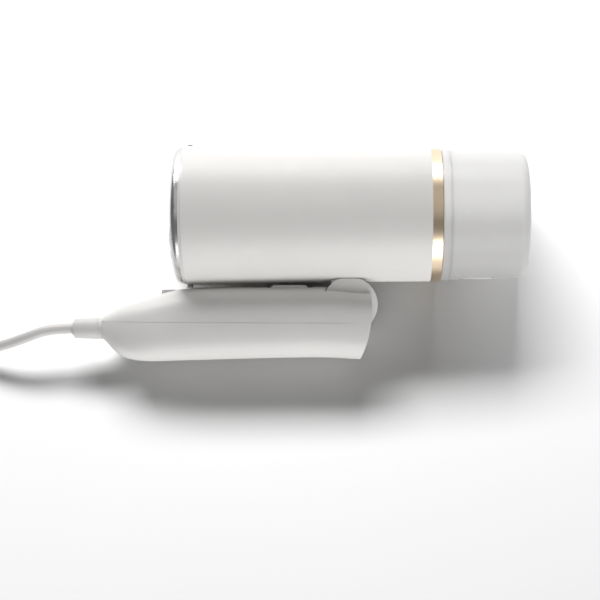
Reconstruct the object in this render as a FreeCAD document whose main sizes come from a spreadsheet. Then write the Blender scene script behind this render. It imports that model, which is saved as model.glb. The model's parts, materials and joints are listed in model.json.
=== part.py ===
import FreeCAD, Part
import math
import os
from types import SimpleNamespace

import Sketcher

# A folding handheld garment steamer, lying folded on its side with its cord.
#
# The pieces are designed in the steamer's own axes: X runs along the barrel from the steam plate (-X)
# to the water tank (+X), Z points from the folded handle to the barrel, and the barrel's axis is the
# line Y = Z = 0. Every piece of the steamer then gets the same rest Placement, which lays it on the
# floor z = 0. The cord, its coil and its plug are designed on that floor directly.

Vector = FreeCAD.Vector
Rotation = FreeCAD.Rotation
Placement = FreeCAD.Placement

doc = FreeCAD.newDocument("handheld_steamer")
sheet = doc.addObject("Spreadsheet::Sheet", "sizes")

# ---------------------------------------------------------------- driving dimensions (mm, degrees)
DIMENSIONS = {
    # barrel
    "housing_front": -60.3,
    "housing_rear": 69.7,
    "housing_front_radius": 37.4,
    "housing_rear_radius": 35.5,
    "housing_flare_radius": 5000,
    "housing_wall": 2.2,
    "barrel_mid_radius": 35.9,
    "bezel_width": 1.6,
    "bezel_radius": 37.1,
    "bezel_bore": 33.2,
    "bezel_spigot_radius": 34.8,
    "bezel_spigot_length": 5.3,
    "plate_thickness": 4.4,
    "plate_radius": 36.6,
    "plate_edge_round": 3.0,
    "island_height": 1.3,
    "island_radius": 14.5,
    "island_reach": 9,
    "island_centre": -10.5,
    "vent_radius": 1.3,
    "ring_rear": 75.0,
    "ring_bore": 33.1,
    "nub_front": -60.3,
    "nub_length": 2.2,
    # steam generator
    "chamber_radius": 31.4,
    "chamber_rear": -46,
    "chamber_pocket_depth": 5.9,
    "gasket_thickness": 1.0,
    "element_ring_radius": 23,
    "element_radius": 3.2,
    "element_sweep": 300,
    "terminal_radius": 1.5,
    "cover_thickness": 2,
    "cover_screw_circle": 29,
    "thermostat_radius": 8,
    "fuse_radius": 2,
    "shield_radius": 32.9,
    "shield_wall": 0.8,
    "shield_rear": -33,
    # water line
    "line_height": 6,
    "nozzle_radius": 2.4,
    "nozzle_bore": 1.2,
    "hose_radius": 4,
    "pump_front": 0,
    "pump_rear": 30,
    "pump_half_width": 13,
    "pump_tube_radius": 8,
    "floor_bottom": -24,
    "floor_top": -21.5,
    "floor_half_width": 22,
    "chassis_front": -31,
    "chassis_rear": 60,
    "chassis_wall": 3,
    "dock_thickness": 3,
    "dock_rim_length": 6.5,
    "dock_radius": 33.1,
    "socket_radius": 8.5,
    "socket_bore": 4.6,
    "socket_length": 8,
    "seal_radius": 5.9,
    "seal_wire": 1.2,
    # tank
    "collar_front": 75.3,
    "collar_rear": 79.7,
    "collar_radius": 34.9,
    "collar_bore": 32.9,
    "collar_wall": 2,
    "spigot_radius": 32.6,
    "spigot_wall": 2,
    "spigot_front": 67.5,
    "tank_rear": 120.4,
    "tank_rear_radius": 33.7,
    "tank_front_radius": 34.8,
    "tank_wall": 2,
    "tank_end_round": 4.8,
    "valve_radius": 4.2,
    "valve_front": 67,
    "valve_rear": 84,
    "valve_bore": 2.6,
    "valve_seat_bore": 1.5,
    "plunger_front": 63.6,
    "plunger_stem_radius": 1.0,
    "plunger_head_radius": 2.2,
    "intake_rear": 112,
    # fill flap on the tank's underside
    "flap_hinge_x": 87.3,
    "flap_hinge_z": -32.6,
    "flap_rear": 102.2,
    "flap_half_width": 6.8,
    "flap_radius": 34.3,
    "flap_inner": -32.0,
    "flap_knuckle_radius": 1.4,
    "flap_pin_radius": 0.7,
    "fill_hole_x": 95.5,
    "fill_hole_radius": 5.2,
    # hinge
    "hinge_x": 26.9,
    "hinge_z": -47.9,
    "barrel_radius": 14.7,
    "barrel_half_width": 12,
    "neck_front": 16.9,
    "neck_rear": 34.8,
    "slot_half_width": 12.5,
    "slot_radius": 15.2,
    "hinge_pin_radius": 3.0,
    "hinge_pin_half_length": 15.2,
    "neck_round": 12.6,
    "hinge_running_gap": 0.05,
    "washer_radius": 5.6,
    "fold_range": 100,
    # handle
    "grip_front": -106.5,
    "grip_reach": 150.5,
    "grip_wall": 2.2,
    "grip_power": 2.6,
    "grip_start_angle": 52.5,
    "grip_end_x": -20.5,
    "grip_end_z": -50.8,
    "grip_end_radius": 59,
    "seam_front": -57.0,
    "seam_rear": -57.8,
    "hollow_rear": 8.5,
    "groove_width": 0.25,
    "groove_depth": 0.15,
    "trigger_front": -16,
    "trigger_rear": 5.4,
    "trigger_half_width": 7,
    "trigger_top": -37.55,
    "trigger_hinge_x": -19.5,
    "trigger_hinge_z": -45,
    "trigger_gap": 0.5,
    "button_front": -74,
    "button_rear": -67.8,
    "button_half_width": 5,
    "button_top": -39.9,
    "board_front": -78,
    "board_rear": -4,
    "board_half_width": 11,
    "board_bottom": -60.6,
    "board_top": -59,
    "relief_rear": -106.5,
    "relief_front": -123.2,
    "relief_rear_radius": 5.9,
    "relief_front_radius": 5.25,
    "relief_z": -60.8,
    "relief_neck_radius": 4.5,
    "cord_radius": 2.8,
    # rest pose on the floor
    "rest_roll": -74.612,
    "rest_pitch": 0.804,
    "rest_x": 1.346,
    "rest_y": 19.844,
    "rest_z": 36.549,
    # coil of the stored cord, and its plug
    "coil_x": -219,
    "coil_y": -1.2,
    "coil_radius": 33.6,
    "coil_half_width": 14,
    "coil_height": 11.2,
    "tie_width": 8,
    "tie_thickness": 1.2,
    "plug_x": -265,
    "plug_back": 26,
    "plug_neck_length": 12,
    "plug_length": 38,
    "plug_half_width": 13,
    "plug_half_height": 9,
    "pin_radius": 2.4,
    "pin_length": 19,
    "pin_spacing": 19,
}

# Top Z, bottom Z and half-width of the handle's sections. Their X steps grow from the cord's end on,
# because the round end needs them closer: section i is at grip_front + grip_reach * (i / last)**2.
GRIP_SECTIONS = [
    (-54.9, -66.6, 6.0),
    (-54.1, -67.2, 7.4),
    (-52.3, -70.3, 10.6),
    (-49.4, -75.0, 14.2),
    (-46.5, -77.7, 17.0),
    (-43.6, -78.5, 18.7),
    (-40.5, -78.2, 19.5),
    (-39.0, -77.8, 19.9),
    (-38.5, -77.3, 20.0),
    (-38.4, -76.8, 20.0),
    (-38.4, -76.4, 20.0),
    (-38.5, -76.5, 20.0),
    (-39.0, -77.3, 20.0),
]


class Size:
    """A number together with the spreadsheet formula that gives it."""

    def __init__(self, number, formula=None):
        self.number = float(number)
        self.formula = formula or f"({self.number!r})"

    def join(self, sign, other, number):
        return Size(number, f"({self.formula} {sign} {sized(other).formula})")

    def __add__(self, other):
        return self.join("+", other, self.number + sized(other).number)

    def __sub__(self, other):
        return self.join("-", other, self.number - sized(other).number)

    def __mul__(self, other):
        return self.join("*", other, self.number * sized(other).number)

    def __truediv__(self, other):
        return self.join("/", other, self.number / sized(other).number)

    def __neg__(self):
        return Size(-self.number, f"(0 - {self.formula})")


def sized(value):
    return value if isinstance(value, Size) else Size(value)


def fill_sheet():
    """Writes every dimension to the sheet and returns them by name."""
    named = dict(DIMENSIONS)
    for index, section in enumerate(GRIP_SECTIONS):
        for word, value in zip(("top", "bottom", "half"), section):
            named[f"grip_{word}_at_{index}"] = value
    for row, (name, value) in enumerate(named.items(), start=1):
        sheet.set(f"A{row}", name)
        sheet.set(f"B{row}", str(value))
        sheet.setAlias(f"B{row}", name)
    doc.recompute()
    return {name: Size(value, f"sizes.{name}") for name, value in named.items()}


SIZES = fill_sheet()
d = SimpleNamespace(**SIZES)
nodes = {}


# ---------------------------------------------------------------- building blocks
def bind(target, prop, value):
    """Ties a property to the sheet."""
    target.setExpression(prop, sized(value).formula)


def locate(target, x, y, z):
    for axis, value in (("x", x), ("y", y), ("z", z)):
        bind(target, f"Placement.Base.{axis}", value)
    return target


def block(x, y, z):
    """A box from its (low, high) pairs."""
    made = doc.addObject("Part::Box", "block")
    for prop, (low, high) in (("Length", x), ("Width", y), ("Height", z)):
        bind(made, prop, sized(high) - low)
    return locate(made, x[0], y[0], z[0])


def rod(axis, low, high, radius, first=0, second=0):
    """A cylinder along an axis. first and second place it across the other two axes, in X, Y, Z order."""
    made = doc.addObject("Part::Cylinder", "rod")
    bind(made, "Radius", radius)
    bind(made, "Height", sized(high) - low)
    if axis == "x":
        made.Placement = Placement(Vector(), Rotation(Vector(0, 1, 0), 90))
        return locate(made, low, first, second)
    if axis == "y":
        made.Placement = Placement(Vector(), Rotation(Vector(1, 0, 0), -90))
        return locate(made, first, low, second)
    return locate(made, first, second, low)


def fuse(*parts):
    if len(parts) == 1:
        return parts[0]
    made = doc.addObject("Part::MultiFuse", "joined")
    made.Shapes = list(parts)
    return made


def cut(base, *tools):
    made = doc.addObject("Part::Cut", "trimmed")
    made.Base = base
    made.Tool = fuse(*tools)
    return made


def common(*parts):
    made = doc.addObject("Part::MultiCommon", "shared")
    made.Shapes = list(parts)
    return made


def tube(axis, low, high, outer, inner, first=0, second=0):
    return cut(
        rod(axis, low, high, outer, first, second),
        rod(axis, sized(low) - 1, sized(high) + 1, inner, first, second),
    )


def outline(body, name, role, corners):
    """A closed sketch of straight edges on an origin plane; every corner is tied to the sheet.
    A corner's third value is the radius of an arc to the next corner, its centre on the left."""
    sketch = body.newObject("Sketcher::SketchObject", name)
    plane = next(f for f in body.Origin.OriginFeatures if f.Role == role)
    sketch.AttachmentSupport = (plane, [""])
    sketch.MapMode = "FlatFace"
    points = [Vector(sized(c[0]).number, sized(c[1]).number, 0) for c in corners]
    count = len(points)
    begins = []
    ends = []
    for index, corner in enumerate(corners):
        start = points[index]
        end = points[(index + 1) % count]
        if len(corner) == 3:
            radius = sized(corner[2]).number
            half = (end - start) / 2
            side = Vector(-half.y, half.x, 0).normalize()
            centre = start + half + side * math.sqrt(radius**2 - half.Length**2)
            angles = [math.atan2(p.y - centre.y, p.x - centre.x) for p in (start, end)]
            circle = Part.Circle(centre, Vector(0, 0, 1), radius)
            sketch.addGeometry(Part.ArcOfCircle(circle, angles[0], angles[1]))
            arc_radius = sketch.addConstraint(Sketcher.Constraint("Radius", index, radius))
            bind(sketch, f"Constraints[{arc_radius}]", corner[2])
        else:
            sketch.addGeometry(Part.LineSegment(start, end))
        begins.append((index, 1))
        ends.append((index, 2))
    for index in range(count):
        following = begins[(index + 1) % count]
        sketch.addConstraint(Sketcher.Constraint("Coincident", *ends[index], *following))
    for index, corner in enumerate(corners):
        for kind, value in zip(("DistanceX", "DistanceY"), corner):
            place = Sketcher.Constraint(kind, *begins[index], sized(value).number)
            bind(sketch, f"Constraints[{sketch.addConstraint(place)}]", value)
    return sketch


def turned(corners, rounds=()):
    """A piece turned about the barrel's axis. corners are (x, radius); rounds are (x, radius, fillet)."""
    body = doc.addObject("PartDesign::Body", "turned")
    sketch = outline(body, "profile", "XZ_Plane", corners)
    turn = body.newObject("PartDesign::Revolution", "turn")
    turn.Profile = sketch
    turn.ReferenceAxis = (sketch, ["H_Axis"])
    turn.Angle = 360
    for x, radius, fillet in rounds:
        doc.recompute()
        round_edge(body, x, radius, fillet)
    return body


def round_edge(body, x, radius, fillet):
    """Rounds the circular edge of that radius at that X."""
    base = body.Tip
    names = []
    for index, edge in enumerate(base.Shape.Edges, start=1):
        curve = edge.Curve
        if isinstance(curve, Part.Circle):
            near = abs(curve.Center.x - sized(x).number) < 0.01
            if near and abs(curve.Radius - sized(radius).number) < 0.01:
                names.append(f"Edge{index}")
    rounded = body.newObject("PartDesign::Fillet", "round")
    rounded.Base = (base, names)
    bind(rounded, "Radius", fillet)
    body.Tip = rounded


def prism(corners, half_width):
    """A plate drawn in X and Z and padded to both sides of the middle plane."""
    body = doc.addObject("PartDesign::Body", "prism")
    sketch = outline(body, "side_view", "XZ_Plane", corners)
    pad = body.newObject("PartDesign::Pad", "pad")
    pad.Profile = sketch
    pad.SideType = "Symmetric"
    bind(pad, "Length", sized(half_width) * 2)
    return body


def spring(length, radius, wire, turns):
    """A coil spring that stands on the origin along Z."""
    helix = doc.addObject("Part::Helix", "helix")
    bind(helix, "Height", length)
    bind(helix, "Pitch", sized(length) / turns)
    bind(helix, "Radius", radius)
    section = doc.addObject("Part::Circle", "wire_section")
    bind(section, "Radius", wire)
    section.Placement = Placement(Vector(), Rotation(Vector(1, 0, 0), 90))
    bind(section, "Placement.Base.x", radius)
    sweep = doc.addObject("Part::Sweep", "spring")
    sweep.Sections = [section]
    sweep.Spine = (helix, ["Edge1"])
    sweep.Solid = True
    sweep.Frenet = True
    return sweep


def around(count, radius, start=0):
    """(y, z) of each place on a circle about the barrel's axis."""
    for index in range(count):
        angle = math.radians(start + 360 * index / count)
        yield sized(radius) * math.cos(angle), sized(radius) * math.sin(angle)


def node(label, made):
    made.Label = label
    nodes[label] = made
    return made


# ---------------------------------------------------------------- barrel: casing
def main_housing():
    corners = [
        (d.housing_front, d.housing_front_radius, d.housing_flare_radius),
        (d.housing_rear, d.housing_rear_radius),
        (d.housing_rear, d.housing_rear_radius - d.housing_wall),
        (d.housing_front, d.housing_front_radius - d.housing_wall),
    ]
    holes = [rod("z", -45, -28, 3.2, d.hinge_x, 0)]
    for x, y in hinge_screw_places():
        holes.append(rod("z", -45, -28, 1.7, x, y))
    node("main_housing", cut(turned(corners), *holes))


def front_bezel():
    rear = d.housing_front
    front = d.housing_front - d.bezel_width
    spigot_rear = d.housing_front + d.bezel_spigot_length
    corners = [
        (front, d.bezel_bore),
        (spigot_rear, d.bezel_bore),
        (spigot_rear, d.bezel_spigot_radius),
        (rear, d.bezel_spigot_radius),
        (rear, d.bezel_radius),
        (front, d.bezel_radius - 0.2),
    ]
    node("front_bezel", turned(corners))


def accent_ring():
    corners = [
        (d.housing_rear, d.ring_bore),
        (d.ring_rear, d.ring_bore),
        (d.ring_rear, d.housing_rear_radius),
        (d.housing_rear, d.housing_rear_radius),
    ]
    node("accent_ring", turned(corners))


def spacer_nubs():
    rear = d.nub_front + d.nub_length
    low = block((d.nub_front, rear), (-4, 4), (-38.9, -36))
    high = block((d.nub_front, rear), (-2, 2), (36, 38.2))
    core = rod("x", d.nub_front - 1, rear + 1, d.housing_front_radius)
    node("spacer_nubs", cut(fuse(low, high), core))


# ---------------------------------------------------------------- barrel: steam generator
PLATE_REAR = d.housing_front - d.bezel_width
PLATE_FRONT = PLATE_REAR - d.plate_thickness
CHAMBER_FRONT = PLATE_REAR + d.gasket_thickness
COVER_REAR = d.chamber_rear + d.cover_thickness


def steam_plate():
    corners = [
        (PLATE_FRONT, 0),
        (PLATE_REAR, 0),
        (PLATE_REAR, d.plate_radius),
        (PLATE_FRONT, d.plate_radius),
    ]
    disc = turned(corners, [(PLATE_FRONT, d.plate_radius, d.plate_edge_round)])
    front = PLATE_FRONT - d.island_height
    low = d.island_centre - d.island_radius
    high = d.island_centre + d.island_radius
    middle = block((front, PLATE_REAR), (-d.island_reach, d.island_reach), (low, high))
    ends = [
        rod("x", front, PLATE_REAR, d.island_radius, y, d.island_centre)
        for y in (-d.island_reach, d.island_reach)
    ]
    vents = []
    for y in (-18, -12, -6, 0, 6, 12, 18):
        for z in (-16, -5):
            vents.append(rod("x", front - 1, PLATE_REAR + 1, d.vent_radius, y, z - abs(y) / 6))
    node("steam_plate", cut(fuse(disc, middle, *ends), *vents))


def steam_chamber():
    block_body = rod("x", CHAMBER_FRONT, d.chamber_rear, d.chamber_radius)
    pocket_rear = CHAMBER_FRONT + d.chamber_pocket_depth
    pocket = tube("x", CHAMBER_FRONT - 1, pocket_rear, 27, 8)
    channel = tube("x", -53, d.chamber_rear + 1, 26.5, 19.5)
    baffles = [
        block((CHAMBER_FRONT, pocket_rear + 0.5), (low, low + 21), (-1.5, 1.5)) for low in (-28, 7)
    ]
    port = rod("x", CHAMBER_FRONT - 1, d.chamber_rear + 1, d.nozzle_bore, 0, d.line_height)
    screw_holes = [
        rod("x", -52.5, d.chamber_rear + 1, 1.6, y, z) for y, z in around(6, d.cover_screw_circle, 30)
    ]
    hollow = cut(block_body, pocket, channel, *screw_holes)
    node("steam_chamber", cut(fuse(hollow, *baffles), port))


def plate_gasket():
    node("plate_gasket", tube("x", PLATE_REAR, CHAMBER_FRONT, d.chamber_radius, 28.5))


def heating_element():
    ring = doc.addObject("Part::Torus", "element_ring")
    bind(ring, "Radius1", d.element_ring_radius)
    bind(ring, "Radius2", d.element_radius)
    bind(ring, "Angle3", d.element_sweep)
    stand = Rotation(Vector(0, 1, 0), Vector(0, 0, 1), Vector(1, 0, 0), "XYZ")
    spin = Rotation(Vector(1, 0, 0), 120)
    ring.Placement = Placement(Vector(), spin.multiply(stand))
    locate(ring, -49.6, 0, 0)
    ends = []
    for angle in (60, 120):
        y = d.element_ring_radius * math.cos(math.radians(angle))
        z = d.element_ring_radius * math.sin(math.radians(angle))
        ends.append(rod("x", -50, -38, d.terminal_radius, y, z))
    node("heating_element", fuse(ring, *ends))


def chamber_cover():
    disc = rod("x", d.chamber_rear, COVER_REAR, d.chamber_radius)
    nozzle = rod("x", d.chamber_rear, COVER_REAR + 10, d.nozzle_radius, 0, d.line_height)
    bore = rod("x", d.chamber_rear - 1, COVER_REAR + 11, d.nozzle_bore, 0, d.line_height)
    holes = [
        rod("x", d.chamber_rear - 1, COVER_REAR + 1, 1.6, y, z)
        for y, z in around(6, d.cover_screw_circle, 30)
    ]
    for angle in (60, 120):
        y = d.element_ring_radius * math.cos(math.radians(angle))
        z = d.element_ring_radius * math.sin(math.radians(angle))
        holes.append(rod("x", d.chamber_rear - 1, COVER_REAR + 1, 2.2, y, z))
    node("chamber_cover", cut(fuse(disc, nozzle), bore, *holes))


def screws(label, axis, places, head_low, head_high, shank_low, shank_high, head=2.8, shank=1.45):
    """Pan-head screws: a head and a shank on each place."""
    made = []
    for first, second in places:
        made.append(
            fuse(
                rod(axis, head_low, head_high, head, first, second),
                rod(axis, shank_low, shank_high, shank, first, second),
            )
        )
    together = doc.addObject("Part::Compound", "screw_set")
    together.Links = made
    node(label, together)


def thermostat():
    can = rod("x", COVER_REAR, COVER_REAR + 6, d.thermostat_radius, -10, -8)
    tabs = [
        block((COVER_REAR + 6, COVER_REAR + 9), (-10 + low, -10 + low + 1), (-11, -5))
        for low in (-4, 3)
    ]
    node("thermostat", fuse(can, *tabs))


def thermal_fuse():
    node("thermal_fuse", rod("y", -8, 8, d.fuse_radius, COVER_REAR + d.fuse_radius, -22))


def heat_shield():
    inside = d.shield_radius - d.shield_wall
    sleeve = tube("x", PLATE_REAR + 1.4, d.shield_rear, d.shield_radius, inside)
    disc = rod("x", d.shield_rear - 1, d.shield_rear, d.shield_radius)
    hose_hole = rod("x", d.shield_rear - 2, d.shield_rear + 1, 5, 0, d.line_height)
    wire_hole = rod("x", d.shield_rear - 2, d.shield_rear + 1, 4, 0, -26)
    node("heat_shield", cut(fuse(sleeve, disc), hose_hole, wire_hole))


# ---------------------------------------------------------------- barrel: pump and water line
def inner_chassis():
    wide = (-d.floor_half_width, d.floor_half_width)
    floor = block((d.chassis_front, d.chassis_rear), wide, (d.floor_bottom, d.floor_top))
    rear = block((d.chassis_rear - d.chassis_wall, d.chassis_rear), wide, (d.floor_bottom, 14))
    front = block((d.chassis_front, d.chassis_front + 2), wide, (d.floor_bottom, -14))
    ribs = [
        common(
            block((low, low + 3), (-12, 12), (-34, d.floor_bottom)),
            rod("x", low - 1, low + 4, d.dock_radius),
        )
        for low in (-20, 48)
    ]
    hose_hole = rod("x", d.chassis_rear - 5, d.chassis_rear + 1, 5, 0, d.line_height)
    screw_holes = [rod("x", d.chassis_rear - 5, d.chassis_rear + 1, 1.6, y, z) for y, z in DOCK_SCREWS]
    wire_hole = rod("z", -25, -20, 2.5, -25, 0)
    rib_hole = rod("x", -21, -16, 1.9, 0, -26.3)
    body = fuse(floor, rear, front, *ribs)
    node("inner_chassis", cut(body, hose_hole, wire_hole, rib_hole, *screw_holes))


DOCK_SCREWS = [(-18, -18), (18, -18), (-18, 9), (18, 9)]


def pump_cradle():
    low = d.line_height - d.pump_half_width
    base = block((2, 28), (-11, 11), (d.floor_top, low))
    hollow = block((5, 25), (-8, 8), (d.floor_top - 1, low - 3))
    node("pump_cradle", cut(base, hollow))


def water_pump():
    half = d.pump_half_width
    coil = block((d.pump_front, d.pump_rear), (-half, half), (d.line_height - half, d.line_height + half))
    core = rod("x", d.pump_front - 10, d.pump_rear + 10, d.pump_tube_radius, 0, d.line_height)
    ends = rod("x", d.pump_front - 18, d.pump_rear + 18, d.nozzle_radius, 0, d.line_height)
    bore = rod("x", d.pump_front - 19, d.pump_rear + 19, d.nozzle_bore, 0, d.line_height)
    node("water_pump", cut(fuse(coil, core, ends), bore))


def hoses():
    line = d.line_height
    rear_end = d.chassis_rear - 1
    node("outlet_hose", tube("x", -42, -11, d.hose_radius, d.nozzle_radius, 0, line))
    node("inlet_hose", tube("x", 41, rear_end, d.hose_radius, d.nozzle_radius, 0, line))


def tank_dock():
    front = d.chassis_rear
    disc = rod("x", front, front + d.dock_thickness, d.dock_radius)
    rim = tube("x", front, front + d.dock_rim_length, d.dock_radius, 31.3)
    socket_rear = front + d.dock_thickness + d.socket_length
    socket = rod("x", front, socket_rear, d.socket_radius, 0, d.line_height)
    nozzle = rod("x", front - 8, front, d.nozzle_radius, 0, d.line_height)
    bore = rod("x", front - 9, front + 1, d.nozzle_bore, 0, d.line_height)
    floor = front + d.dock_thickness
    socket_bore = rod("x", floor, socket_rear + 1, d.socket_bore, 0, d.line_height)
    weep = rod("x", front, floor + 0.5, d.nozzle_bore, 0, d.line_height)
    groove = rod("x", floor + 3, floor + 5.6, d.seal_radius + d.seal_wire, 0, d.line_height)
    holes = [rod("x", front - 1, floor + 1, 1.6, y, z) for y, z in DOCK_SCREWS]
    body = fuse(disc, rim, socket, nozzle)
    node("tank_dock", cut(body, bore, socket_bore, weep, groove, *holes))


def dock_seal():
    ring = doc.addObject("Part::Torus", "seal_ring")
    bind(ring, "Radius1", d.seal_radius)
    bind(ring, "Radius2", d.seal_wire)
    ring.Placement = Placement(Vector(), Rotation(Vector(0, 1, 0), 90))
    node("dock_seal", locate(ring, d.chassis_rear + d.dock_thickness + 4.3, 0, d.line_height))


def head_wires():
    run = rod("x", -37, -25, 1.4, 0, -26.3)
    rise = rod("x", -25, d.hinge_x, 1.4, 0, -26.3)
    drop = rod("z", -43, -26.3, 1.4, d.hinge_x, 0)
    elbow = doc.addObject("Part::Sphere", "elbow")
    bind(elbow, "Radius", 1.4)
    locate(elbow, d.hinge_x, 0, -26.3)
    node("head_wires", fuse(run, rise, drop, elbow))


# ---------------------------------------------------------------- barrel: hinge
def hinge_screw_places():
    return [(20, -7), (20, 7), (33, -7), (33, 7)]


def hinge_plate():
    plate = common(
        block((14, 38), (-11, 11), (-40, -29.5)),
        rod("x", 13, 39, d.dock_radius + 0.3),
    )
    holes = [rod("z", -41, -29, 1.6, x, y) for x, y in hinge_screw_places()]
    node("hinge_plate", cut(plate, rod("z", -41, -29, 3.2, d.hinge_x, 0), *holes))


def barrel_form():
    half = d.barrel_half_width
    drum = rod("y", -half, half, d.barrel_radius, d.hinge_x, d.hinge_z)
    middle = (d.neck_front + d.neck_rear) / 2
    neck = common(
        block((d.neck_front, d.neck_rear), (-half, half), (-46, -30)),
        rod("z", -47, -29, d.neck_round, middle, 0),
    )
    core = rod("x", -10, 60, d.barrel_mid_radius + 0.2)
    bore = rod("y", -20, 20, d.hinge_pin_radius + d.hinge_running_gap, d.hinge_x, d.hinge_z)
    wire_hole = rod("z", -44, -28, 2.6, d.hinge_x, 0)
    screw_holes = [rod("z", -43.5, -28, 1.5, x, y) for x, y in hinge_screw_places()]
    return cut(fuse(drum, neck), core, bore, wire_hole, *screw_holes)


def hinge_barrel():
    part = block((0, d.neck_rear), (-20, 20), (-80, -20))
    node("hinge_barrel", common(barrel_form(), part))


def hinge_end_cap():
    part = block((d.neck_rear, 60), (-20, 20), (-80, -20))
    node("hinge_end_cap", common(barrel_form(), part))


# ---------------------------------------------------------------- water tank
def tank_collar():
    wall_rear = d.collar_front + d.collar_wall
    corners = [
        (d.spigot_front, d.spigot_radius - d.spigot_wall),
        (d.collar_front, d.spigot_radius - d.spigot_wall),
        (d.collar_front, 0),
        (wall_rear, 0),
        (wall_rear, d.collar_bore),
        (d.collar_rear, d.collar_bore),
        (d.collar_rear, d.collar_radius),
        (d.collar_front, d.collar_radius),
        (d.collar_front, d.spigot_radius),
        (d.spigot_front, d.spigot_radius),
    ]
    hole = rod("x", d.collar_front - 1, wall_rear + 1, d.valve_radius, 0, d.line_height)
    node("tank_collar", cut(turned(corners), hole))


def tank_shell():
    lip = d.collar_bore - 0.1
    inside_rear = d.tank_rear - d.tank_wall
    front = d.collar_front + d.collar_wall
    corners = [
        (d.collar_rear, lip),
        (d.collar_rear, d.tank_front_radius),
        (d.tank_rear, d.tank_rear_radius),
        (d.tank_rear, 0),
        (inside_rear, 0),
        (inside_rear, d.tank_rear_radius - d.tank_wall),
        (d.collar_rear + 2, d.tank_front_radius - d.tank_wall),
        (d.collar_rear, lip - d.tank_wall),
        (front, lip - d.tank_wall),
        (front, lip),
    ]
    rounds = [
        (d.tank_rear, d.tank_rear_radius, d.tank_end_round),
        (inside_rear, d.tank_rear_radius - d.tank_wall, d.tank_end_round - d.tank_wall),
    ]
    side = d.flap_half_width + 0.6
    window = block((85.2, d.flap_rear + 0.6), (-side, side), (-40, -28))
    pin_hole = rod("y", -9.2, 9.2, d.flap_pin_radius, d.flap_hinge_x, d.flap_hinge_z)
    node("tank_shell", cut(turned(corners, rounds), window, pin_hole))


def tank_valve():
    line = d.line_height
    flange_front = d.collar_front + d.collar_wall
    body = rod("x", d.valve_front, d.valve_rear, d.valve_radius, 0, line)
    flange = rod("x", flange_front, flange_front + 1.7, 7, 0, line)
    bore = rod("x", 69, d.valve_rear + 1, d.valve_bore, 0, line)
    seat = rod("x", d.valve_front - 1, 70, d.valve_seat_bore, 0, line)
    node("tank_valve", cut(fuse(body, flange), bore, seat))


def valve_plunger():
    line = d.line_height
    stem = rod("x", d.plunger_front, 71, d.plunger_stem_radius, 0, line)
    head = rod("x", 70, 72, d.plunger_head_radius, 0, line)
    node("valve_plunger", fuse(stem, head))


def valve_spring():
    coil = spring(7.8, 1.7, 0.3, 6)
    coil.Placement = Placement(Vector(), Rotation(Vector(0, 1, 0), 90))
    node("valve_spring", locate(coil, 74.0, 0, d.line_height))


def intake_tube():
    node("intake_tube", tube("x", 82.2, d.intake_rear, d.valve_bore, 1.5, 0, d.line_height))


def fill_port():
    half = d.flap_half_width + 0.4
    plate = block((83, 105), (-9.4, 9.4), (-30.6, -28.6))
    seat = block((89.5, d.flap_rear + 0.4), (-half, half), (-31.6, -30))
    hole = rod("z", -33, -27, d.fill_hole_radius, d.fill_hole_x, 0)
    node("fill_port", cut(fuse(plate, seat), hole))


def fill_flap():
    half = d.flap_half_width
    plate = common(
        block((d.flap_hinge_x, d.flap_rear), (-half, half), (-40, d.flap_inner)),
        rod("x", 80, 110, d.flap_radius),
    )
    knuckle = rod("y", -half, half, d.flap_knuckle_radius, d.flap_hinge_x, d.flap_hinge_z)
    running = d.flap_pin_radius + 0.07
    bore = rod("y", -10, 10, running, d.flap_hinge_x, d.flap_hinge_z)
    notch = block((d.flap_rear - 1.6, d.flap_rear + 1), (-3, 3), (-40, -33.2))
    node("fill_flap", cut(fuse(plate, knuckle), bore, notch))


def flap_pin():
    node("flap_pin", rod("y", -9.1, 9.1, d.flap_pin_radius, d.flap_hinge_x, d.flap_hinge_z))


def flap_seal():
    node("flap_seal", rod("z", d.flap_inner, -30.2, d.fill_hole_radius - 0.7, d.fill_hole_x, 0))


# ---------------------------------------------------------------- handle
def grip_section(x, top, bottom, half, inset):
    """A rounded section of the grip: a superellipse drawn across the handle."""
    points = []
    middle = (top + bottom) / 2
    rise = (top - bottom) / 2 - inset
    side = half - inset
    power = d.grip_power.number
    count = 16
    for index in range(count):
        angle = 2 * math.pi * index / count - math.radians(d.grip_start_angle.number)
        across = math.cos(angle)
        up = math.sin(angle)
        reach = (abs(across / side) ** power + abs(up / rise) ** power) ** (-1 / power)
        points.append(Vector(x, reach * across, middle + reach * up))
    curve = Part.BSplineCurve()
    curve.interpolate(Points=points, PeriodicFlag=True)
    low = curve.FirstParameter
    step = (curve.LastParameter - low) / 4
    quarters = [curve.toShape(low + step * turn, low + step * (turn + 1)) for turn in range(4)]
    return Part.Wire(quarters)


def grip_form(inset, first, last):
    """The grip's solid form, or its hollow when inset. A superellipse is no sketch or primitive shape."""
    wires = []
    last_index = len(GRIP_SECTIONS) - 1
    for index in range(first, last_index + 1):
        x = d.grip_front.number + d.grip_reach.number * (index / last_index) ** 2
        top, bottom, half = (
            SIZES[f"grip_{word}_at_{index}"].number for word in ("top", "bottom", "half")
        )
        wires.append(grip_section(x, top, bottom, half, sized(inset).number))
    form = doc.addObject("Part::Feature", "grip_form")
    form.Shape = Part.makeLoft(wires, True, False)
    ends = block((-120, last), (-30, 30), (-90, -30))
    return common(form, ends)


def handle_screw_places():
    return [(-83, 0), (-40.5, 0)]


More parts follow.
